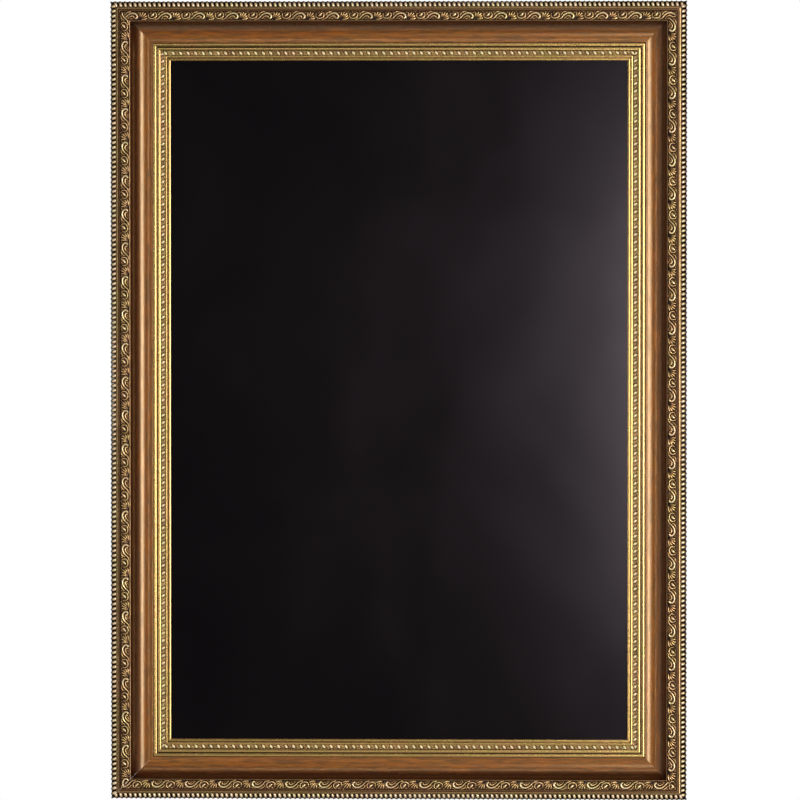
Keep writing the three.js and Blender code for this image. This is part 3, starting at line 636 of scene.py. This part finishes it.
def walnut_scoop():
    """Satin walnut with its grain along the rail, nearly black towards the lip: partly a stain, partly
    painted shade under the lip.
    """
    finish = Finish("walnut", IOR=2.0, Specular_Tint=(1, 0.7, 0.4, 1))
    grain = finish.noise(finish.place(), (48, 500, 500), 6, 0.6, 0.6)
    pores = finish.noise(finish.place(), (50, 1300, 1300), 3, 0.6)
    patches = finish.noise(finish.place(), (14, 130, 130), 3, 0.6, 0.5)
    # The hollow takes the colour to the darker stops under the lip: a stain and painted shade there.
    toned_and_shaded = finish.math("ADD", finish.hollow(), finish.spread(grain, 0.3, 0.7, -0.1, 0.1), clamp=True)
    tone = finish.ramp(
        toned_and_shaded,
        (0.0, 152, 93, 34),
        (0.25, 122, 70, 27),
        (0.5, 66, 34, 15),
        (0.8, 36, 16, 8),
        (1.0, 22, 9, 5),
    )
    streaked = finish.mix(finish.spread(grain, 0.42, 0.6, 0, 0.6), tone, colour(54, 28, 14))
    pored = finish.mix(finish.spread(pores, 0.54, 0.66, 0, 0.55), streaked, colour(34, 17, 9))
    tint = finish.ramp(patches, (0.4, 255, 232, 210), (0.6, 242, 238, 214))
    finish.set("Base Color", finish.mix(1.0, pored, tint, "MULTIPLY"))
    finish.set("Roughness", finish.spread(grain, 0.35, 0.65, 0.22, 0.32))
    finish.bump(pores, 0.00001)
    return finish.material


def plain_wood(name, light, dark, roughness):
    """Sawn or stained wood with its grain along the rail."""
    finish = Finish(name)
    grain = finish.noise(finish.place(), (12, 240, 240), 6, 0.6, 0.5)
    finish.set("Base Color", finish.ramp(grain, (0.3, *light), (0.7, *dark)))
    finish.set("Roughness", finish.spread(grain, 0.3, 0.7, roughness - 0.05, roughness + 0.08))
    finish.bump(grain, 0.00012)
    return finish.material


def chalk_paint():
    """Black board paint with a soft sheen and a faint haze of chalk."""
    finish = Finish("chalk_paint", IOR=1.5, Specular_Tint=(1, 0.82, 0.94, 1), Specular_IOR_Level=0.72)
    place = finish.object_place()
    haze = finish.noise(place, (5, 5, 4), 5, 0.6, 0.4)
    grit = finish.noise(place, 1400, 2)
    tone = finish.ramp(haze, (0.35, 1, 0, 1), (0.7, 3, 1, 2))
    finish.set("Base Color", finish.mix(finish.spread(grit, 0.55, 0.8, 0, 0.4), tone, colour(6, 3, 5)))
    finish.set("Roughness", finish.spread(haze, 0.3, 0.7, 0.16, 0.2))
    finish.bump(grit, 0.000008)
    return finish.material


def fibreboard():
    finish = Finish("fibreboard")
    fibres = finish.noise(finish.object_place(), 420, 6, 0.7, 1.0)
    finish.set("Base Color", finish.ramp(fibres, (0.3, 126, 90, 58), (0.7, 92, 62, 38)))
    finish.set("Roughness", finish.spread(fibres, 0.3, 0.7, 0.75, 0.9))
    finish.bump(fibres, 0.0002)
    return finish.material


def metal(name, light, dark, roughness):
    """Plated or blued steel with a faint mottle."""
    finish = Finish(name, Metallic=1.0)
    mottle = finish.noise(finish.object_place(), 700, 4)
    finish.set("Base Color", finish.ramp(mottle, (0.3, *light), (0.7, *dark)))
    finish.set("Roughness", finish.spread(mottle, 0.3, 0.7, roughness - 0.05, roughness + 0.1))
    finish.bump(mottle, 0.00002)
    return finish.material


def soft_rubber():
    finish = Finish("rubber", Roughness=0.75)
    grain = finish.noise(finish.object_place(), 1500, 3)
    finish.set("Base Color", finish.ramp(grain, (0.3, 48, 47, 46), (0.7, 34, 33, 32)))
    finish.bump(grain, 0.00005)
    return finish.material


# The gildings' tones, as colour stops by hollow. The lightest stops, near white on the beads, the scroll and
# the slip's row, are painted highlights on rubbed gilding; the dark stops for gaps, grooves, feet and the
# lip's roll are partly dirt and partly painted shade.
BEAD_TONES = (0.0, 255, 253, 242), (0.14, 232, 204, 160), (0.27, 92, 66, 40), (0.46, 24, 15, 8)
SCROLL_TONES = (0.0, 255, 244, 212), (0.28, 238, 202, 148), (0.56, 118, 84, 48), (0.82, 26, 14, 5)
LIP_TONES = (0.0, 190, 154, 118), (0.8, 72, 46, 28)
FILLET_TONES = (0.0, 172, 146, 104), (0.6, 110, 82, 50)
QUIRK_TONES = (0.0, 124, 90, 60), (0.5, 108, 76, 46), (1.0, 84, 56, 30)
SLIP_TONES = (0.0, 214, 186, 128), (0.5, 166, 134, 80), (1.0, 58, 38, 10)
SLIP_BEAD_TONES = (0.25, 255, 252, 236), (0.5, 240, 214, 156), (0.78, 104, 68, 28), (1.0, 44, 26, 8)

bead_gilt = gilding("bead_gilt", BEAD_TONES, metallic=0.45, roughness=0.24, varnish=0.35, wear=0.5)
scroll_gilt = gilding("scroll_gilt", SCROLL_TONES, metallic=0.72, roughness=0.27, varnish=0.05)
lip_gilt = gilding("lip_gilt", LIP_TONES, metallic=0.8, roughness=0.34)
fillet_gilt = gilding("fillet_gilt", FILLET_TONES, metallic=0.8, roughness=0.3, varnish=0.5)
quirk_gilt = gilding("quirk_gilt", QUIRK_TONES, metallic=0.5, roughness=0.4)
slip_gilt = gilding("slip_gilt", SLIP_TONES, metallic=0.9, roughness=0.26, varnish=0.6, wear=0.3)
slip_bead_gilt = gilding("slip_bead_gilt", SLIP_BEAD_TONES, metallic=0.15, roughness=0.26, varnish=1.0)
seat_bole = plain_wood("seat_bole", (46, 30, 18), (26, 16, 9), roughness=0.6)
walnut = walnut_scoop()
raw_wood = plain_wood("raw_wood", (206, 172, 124), (176, 138, 92), roughness=0.7)
side_lacquer = plain_wood("side_lacquer", (70, 44, 28), (44, 26, 16), roughness=0.42)
board_paint = chalk_paint()
board_back = fibreboard()
zinc = metal("zinc", (196, 198, 202), (150, 152, 156), roughness=0.32)
blued = metal("blued", (62, 63, 68), (40, 41, 46), roughness=0.42)
rubber = soft_rubber()


# Pieces


def keep(piece, body, slot, *nodes):
    """The piece rides on a body and stands for those CAD nodes. The slot argument is not used."""
    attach(piece, body)
    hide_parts(*nodes)


_, nose_height, _ = scoop_curve()[-1]
slip_foot_height = REBATE_HEIGHT - SEAT_GAP
# Hollow 1 on the quirk's flats darkens its gilding there: partly dirt, partly painted shade.
rail_runs = [
    (raw_wood, [(edge_inset + EDGE_ROUND, 0, 0.5)]),
    (side_lacquer, [(edge_inset, EDGE_ROUND, 0.5), (edge_inset, bead_seat - SEAT_GAP, 0.5)]),
    (seat_bole, [(fillet_start, bead_seat - SEAT_GAP, 1)]),
    (fillet_gilt, crowned(fillet_start, FILLET_WIDTH, FILLET_HEIGHT, FILLET_CROWN)),
    (quirk_gilt, [(quirk_start, QUIRK_HEIGHT, 1), (quirk_band_start, QUIRK_HEIGHT, 1)]),
    (quirk_gilt, crowned(quirk_band_start, QUIRK_BAND_WIDTH, quirk_band_height, QUIRK_BAND_CROWN)),
    (quirk_gilt, [(quirk_band_end + QUIRK_EDGE, QUIRK_HEIGHT, 1), (scroll_outer, QUIRK_HEIGHT, 1)]),
    (seat_bole, [(scroll_outer, scroll_seat - SEAT_GAP, 1), (lip_start, scroll_seat - SEAT_GAP, 1)]),
    (lip_gilt, lip_curve()),
    (walnut, scoop_curve()),
    (walnut, [(rail_inner - inset, nose_height - drop, hollow) for inset, drop, hollow in NOSE]),
    (raw_wood, [(rail_inner, REBATE_HEIGHT, 0.5), (rebate_wall, REBATE_HEIGHT, 0.5), (rebate_wall, 0, 0.5)]),
]
# Hollow in the channel, groove and sight edge darkens the slip's gilding: partly dirt, partly painted shade.
slip_runs = [
    (seat_bole, [(slip_outer, slip_back, 1), (slip_outer, slip_foot_height, 1)]),
    (seat_bole, [(slip_start, slip_foot_height, 1)]),
    (slip_gilt, crowned(slip_start, SLIP_FILLET_WIDTH, slip_crown, SLIP_FILLET_CROWN)),
    (slip_gilt, [(channel_start, SLIP_CHANNEL_HEIGHT, 1), (inner_fillet_start, SLIP_CHANNEL_HEIGHT, 1)]),
    (slip_gilt, crowned(inner_fillet_start, SLIP_FILLET_WIDTH, slip_crown, SLIP_FILLET_CROWN)),
    (slip_gilt, [(slip_bead_start, SLIP_BEAD_SEAT_HEIGHT, 1), (ridge_start, SLIP_BEAD_SEAT_HEIGHT, 1)]),
    (slip_gilt, crowned(ridge_start, RIDGE_WIDTH, RIDGE_HEIGHT, RIDGE_CROWN)),
    (slip_gilt, [(groove_start, SIGHT_GROOVE_HEIGHT, 0.4), (sight_lip_start, SIGHT_GROOVE_HEIGHT, 0.4)]),
    (slip_gilt, crowned(sight_lip_start, SIGHT_LIP_WIDTH, SIGHT_LIP_HEIGHT, SIGHT_LIP_CROWN)),
    (slip_gilt, [(sight_edge, slip_back, 0.8)]),
]

scroll_relief = relief_tile(
    acanthus(), SCROLL_PERIOD, scroll_inner - scroll_outer,
    ground=0.9, wave=0.25, moat=0.8, shoulders=(0.7, 1.4),
)
slip_relief = relief_tile(
    slip_beading(), SLIP_BEAD_PITCH, slip_bead_inner - slip_bead_outer,
    ground=1.1, wave=0, moat=0.9, shoulders=(0.3, 0.3), cell=0.1,
)
for side in SIDES:
    keep(moulding("moulding_" + side, side, rail_runs), "frame", "walnut", "rail_" + side)
    keep(bead_row("bead_row_" + side, side, bead_gilt), "frame", "aged_gilt", "outer_beads_" + side)
    carved = relief_strip(
        "acanthus_" + side, side, (scroll_outer, scroll_inner), scroll_seat, SCROLL_BASE,
        scroll_relief, SCROLL_SPACING, SCROLL_START[side], scroll_gilt,
    )
    keep(carved, "frame", "aged_gilt", "scroll_" + side)
    keep(moulding("gilt_slip_" + side, side, slip_runs), "frame", "gilt", "slip_" + side)
    row = relief_strip(
        "slip_row_" + side, side, (slip_bead_outer, slip_bead_inner), slip_bead_seat, SLIP_BEAD_BASE,
        slip_relief, SLIP_BEAD_SPACING, 0.0, slip_bead_gilt,
    )
    keep(row, "frame", "gilt", "slip_beads_" + side)


def eased_board(name, node, materials):
    """A board whose edges are eased, with the first material on its front and the second behind."""
    low, high = corners(node)
    ease = BOARD_EASE * MM
    points = []
    for y, inset in ((low[1], ease), (low[1] + ease, 0), (high[1] - ease, 0), (high[1], ease)):
        left, right, bottom, top = low[0] + inset, high[0] - inset, low[2] + inset, high[2] - inset
        points += [(left, y, bottom), (right, y, bottom), (right, y, top), (left, y, top)]
    front, behind = 0, 1
    slots = [front] * 4 + [behind] * 8 + [front, behind]
    return make_object(name, points, tube_faces(4, 4), slots, materials, sharp=30)


board = eased_board("writing_board", "chalk_panel", [board_paint, board_back])
keep(board, "frame", "chalk_surface", "chalk_panel")


def turned(name, profile, place, segments, material):
    """A profile of (radius, y) in mm turned about the Y axis through a place."""
    points = []
    for radius, y in profile:
        for k in range(segments):
            turn = 2 * math.pi * k / segments
            x, z = radius * math.cos(turn), radius * math.sin(turn)
            points.append((place[0] + x * MM, place[1] + y * MM, place[2] + z * MM))
    return make_object(name, points, tube_faces(len(profile), segments), materials=[material], sharp=35)


def arc(centre, radii, span, steps):
    """Points on an ellipse's arc, with angles in degrees."""
    angles = np.radians(np.linspace(*span, steps + 1))
    return [(centre[0] + radii[0] * math.cos(a), centre[1] + radii[1] * math.sin(a)) for a in angles]


def d_ring(name, node, sides=14):
    """The ring's wire, swept round its D from one butted end to the other."""
    low, high = corners(node)
    wire = (high[1] - low[1]) / 2
    x, y, z = (low[0] + high[0]) / 2, (low[1] + high[1]) / 2, low[2] + wire
    half = (high[0] - low[0]) / 2 - wire
    top = high[2] - wire - z
    corner, butt = RING_CORNER * MM, RING_BUTT * MM
    right = [(butt, 0), (half - corner, 0)]
    right += arc((half - corner, corner), (corner, corner), (-75, 0), steps=5)
    bow = arc((0, top - half), (half, half), (0, 180), steps=28)
    left = [(-a, b) for a, b in reversed(right)]
    path = np.array(right + bow + left)
    along = np.gradient(path, axis=0)
    along /= np.linalg.norm(along, axis=1)[:, None]
    points = []
    for (px, pz), (tx, tz) in zip(path, along):
        for k in range(sides):
            turn = 2 * math.pi * k / sides
            out, back = wire * math.cos(turn), wire * math.sin(turn)
            points.append((x + px + tz * out, y + back, z + pz - tx * out))
    return make_object(name, points, tube_faces(len(path), sides), materials=[zinc], sharp=50)


def pan_screw(name, node):
    """A pan-head screw with a cross recess, its head towards the wall."""
    low, high = corners(node)
    x, z = (low[0] + high[0]) / 2, (low[2] + high[2]) / 2
    place = (x, high[1] - HEAD_HEIGHT * MM, z)
    made = turned(name, SHANK_PROFILE + HEAD_PROFILE, place, segments=28, material=zinc)
    arm, half = RECESS_REACH * MM, RECESS_HALF * MM
    outline = [(arm, half), (half, half), (half, arm), (-half, arm), (-half, half), (-arm, half)]
    outline += [(-a, -b) for a, b in outline]
    points = [(x + a, high[1] + RECESS_CLEAR * MM, z + b) for a, b in outline]
    bottom = high[1] - RECESS_DEPTH * MM
    points += [(x + a * RECESS_TAPER, bottom, z + b * RECESS_TAPER) for a, b in outline]
    recess = bpy.data.meshes.new(name + "_recess")
    recess.from_pydata(points, [], tube_faces(2, len(outline)))
    recess.update()
    cutter = bpy.data.objects.new(name + "_recess", recess)
    bpy.context.scene.collection.objects.link(cutter)
    cut = made.modifiers.new("recess", "BOOLEAN")
    cut.operation = "DIFFERENCE"
    cut.solver = "EXACT"
    cut.object = cutter
    shaped = bpy.data.meshes.new_from_object(made.evaluated_get(bpy.context.evaluated_depsgraph_get()))
    made.modifiers.clear()
    made.data = shaped
    bpy.data.objects.remove(cutter)
    return made


def bumper(name, node):
    """A round rubber bumper with a domed end, its foot on the rail."""
    low, high = corners(node)
    wall = (BUMPER_RADIUS, BUMPER_WALL)
    dome = arc((BUMPER_RADIUS - BUMPER_DOME[0], BUMPER_WALL), BUMPER_DOME, (0, 90), steps=10)[1:]
    place = ((low[0] + high[0]) / 2, low[1], (low[2] + high[2]) / 2)
    return turned(name, BUMPER_FOOT + [wall] + dome, place, segments=40, material=rubber)


for name in ("left", "right"):
    keep(d_ring("d_ring_" + name, "hanger_ring_" + name), "ring_" + name, "zinc_steel", "hanger_ring_" + name)
    for k in ("1", "2"):
        node = "hanger_screw_" + name + "_" + k
        keep(pan_screw("pan_screw_" + name + "_" + k, node), "frame", "zinc_steel", node)
    keep(bumper("bumper_" + name, "wall_bumper_" + name), "frame", "rubber", "wall_bumper_" + name)

for node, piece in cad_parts.items():
    if node.startswith(("frame_point", "v_nail", "hanger_strap")):
        piece.data.materials.clear()
        piece.data.materials.append(blued if node.startswith("v_nail") else zinc)
        bevel = piece.modifiers.new("worn_edges", "BEVEL")
        bevel.width = WORN_EDGE * MM
        bevel.segments = 2
        bevel.limit_method = "ANGLE"


# Floor, light and view
# Metres and degrees, and for the camera pixels of the photograph and mm of its sensor.

FLOOR_DROP, FLOOR_HALF, FLOOR_AHEAD, FLOOR_PALENESS = 0.25, 2.8, 1.1, 0.42
ROOM_ABOVE, ROOM_BELOW, ROOM_GLEAM = 0.5, 0.08, 0.02
# Between which headings, up and back, the room's light and its gleam change.
ROOM_RISE, GLEAM_RISE = (-0.6, 0.6), (0.1, 0.5)
CAMERA_DISTANCE = 8.0
CAMERA_AZIMUTH, CAMERA_ELEVATION = 2.3, 1.4
FRAME_PIXELS = 799.5
PICTURE = 800.0
SHIFT_LEFT, SHIFT_DOWN = 1.85, 0.75
SENSOR = 36.0

centre = Vector(frame_centre)
centre.y = back_y - lip_height * MM


def bearing(azimuth, elevation, distance):
    """A place seen from the board's centre, with angles in degrees. Azimuth turns to the right of someone who
    faces the board."""
    azimuth, elevation = math.radians(azimuth), math.radians(elevation)
    return centre + distance * Vector(
        (
            math.sin(azimuth) * math.cos(elevation),
            -math.cos(azimuth) * math.cos(elevation),
            math.sin(elevation),
        )
    )


def aimed(name, data, place):
    """A lamp or camera at a place, turned towards the board's centre."""
    made = bpy.data.objects.new(name, data)
    made.location = place
    made.rotation_euler = (centre - place).to_track_quat("-Z", "Y").to_euler()
    bpy.context.scene.collection.objects.link(made)
    return made


def soft_box(name, azimuth, elevation, distance, size, watts):
    """A rectangular lamp aimed at the board's centre, as wide and as high as size says, in metres."""
    data = bpy.data.lights.new(name, "AREA")
    data.shape = "RECTANGLE"
    data.size, data.size_y = size
    data.energy = watts
    aimed(name, data, bearing(azimuth, elevation, distance))


soft_box("key_light", 26.5, 0, 3.2, size=(1.05, 1.8), watts=60)
soft_box("side_light", 13.3, -0.5, 2.3, size=(0.4, 0.6), watts=5)
soft_box("fill_light", -28, 0, 2.2, size=(0.22, 1.2), watts=3.8)
soft_box("wall_light", -62, 0, 2.2, size=(1.6, 1.6), watts=3.6)
soft_box("top_light", 4, 38, 2.4, size=(1.4, 0.6), watts=4.5)

# The floor gives off a little light of its own, to the camera alone, so that it shows no grey edge.
pale = Finish("pale_floor", Roughness=0.8)
ray = pale.tree.nodes.new("ShaderNodeLightPath").outputs
pale.set("Base Color", pale.mix(ray["Is Diffuse Ray"], colour(236, 236, 236), colour(120, 120, 120)))
pale.set("Emission Color", (1, 1, 1, 1))
pale.set("Emission Strength", pale.math("MULTIPLY", ray["Is Camera Ray"], FLOOR_PALENESS))
floor_z, floor_front, floor_back = outer_low[2] - FLOOR_DROP, back_y - FLOOR_AHEAD, back_y + FLOOR_HALF
floor_points = [(-FLOOR_HALF, floor_front, floor_z), (FLOOR_HALF, floor_front, floor_z)]
floor_points += [(FLOOR_HALF, floor_back, floor_z), (-FLOOR_HALF, floor_back, floor_z)]
floor = make_object("floor", floor_points, [(0, 1, 2, 3)], materials=[pale.material])


def studio_world():
    """The camera sees white all round. The light of the room is dim, and dimmer below. What shines mirrors a
    white wall behind the object and a nearly dark room in front of it."""
    world = bpy.data.worlds.new("studio")
    world.use_nodes = True
    tree = world.node_tree
    tree.nodes.clear()

    def node(kind, *values, **settings):
        made = tree.nodes.new(kind)
        for key, value in settings.items():
            setattr(made, key, value)
        for socket, value in zip(made.inputs, values):
            if isinstance(value, bpy.types.NodeSocket):
                tree.links.new(value, socket)
            else:
                socket.default_value = value
        return made

    rays = node("ShaderNodeLightPath").outputs
    direction = node("ShaderNodeTexCoord").outputs["Generated"]
    heading = node("ShaderNodeSeparateXYZ", direction).outputs
    room = node("ShaderNodeMapRange", heading["Z"], *ROOM_RISE, ROOM_BELOW, ROOM_ABOVE)
    gleam = node("ShaderNodeMapRange", heading["Y"], *GLEAM_RISE, ROOM_GLEAM, 1.0)
    shiny = node("ShaderNodeMath", rays["Is Glossy Ray"], rays["Is Transmission Ray"], operation="MAXIMUM")
    indoors = node("ShaderNodeMapRange", shiny.outputs[0], 0.0, 1.0, room.outputs[0], gleam.outputs[0])
    strength = node("ShaderNodeMath", indoors.outputs[0], rays["Is Camera Ray"], operation="MAXIMUM")
    background = node("ShaderNodeBackground", (1, 1, 1, 1), strength.outputs[0])
    node("ShaderNodeOutputWorld", background.outputs[0])
    bpy.context.scene.world = world


studio_world()

camera_data = bpy.data.cameras.new("camera")
camera_data.sensor_width = SENSOR
camera_data.shift_x, camera_data.shift_y = SHIFT_LEFT / PICTURE, SHIFT_DOWN / PICTURE
camera_data.lens = FRAME_PIXELS / PICTURE * SENSOR * CAMERA_DISTANCE / (frame_height * MM)
camera_place = bearing(CAMERA_AZIMUTH, CAMERA_ELEVATION, CAMERA_DISTANCE)
bpy.context.scene.camera = aimed("camera", camera_data, camera_place)
bpy.context.scene.view_settings.view_transform = "Standard"
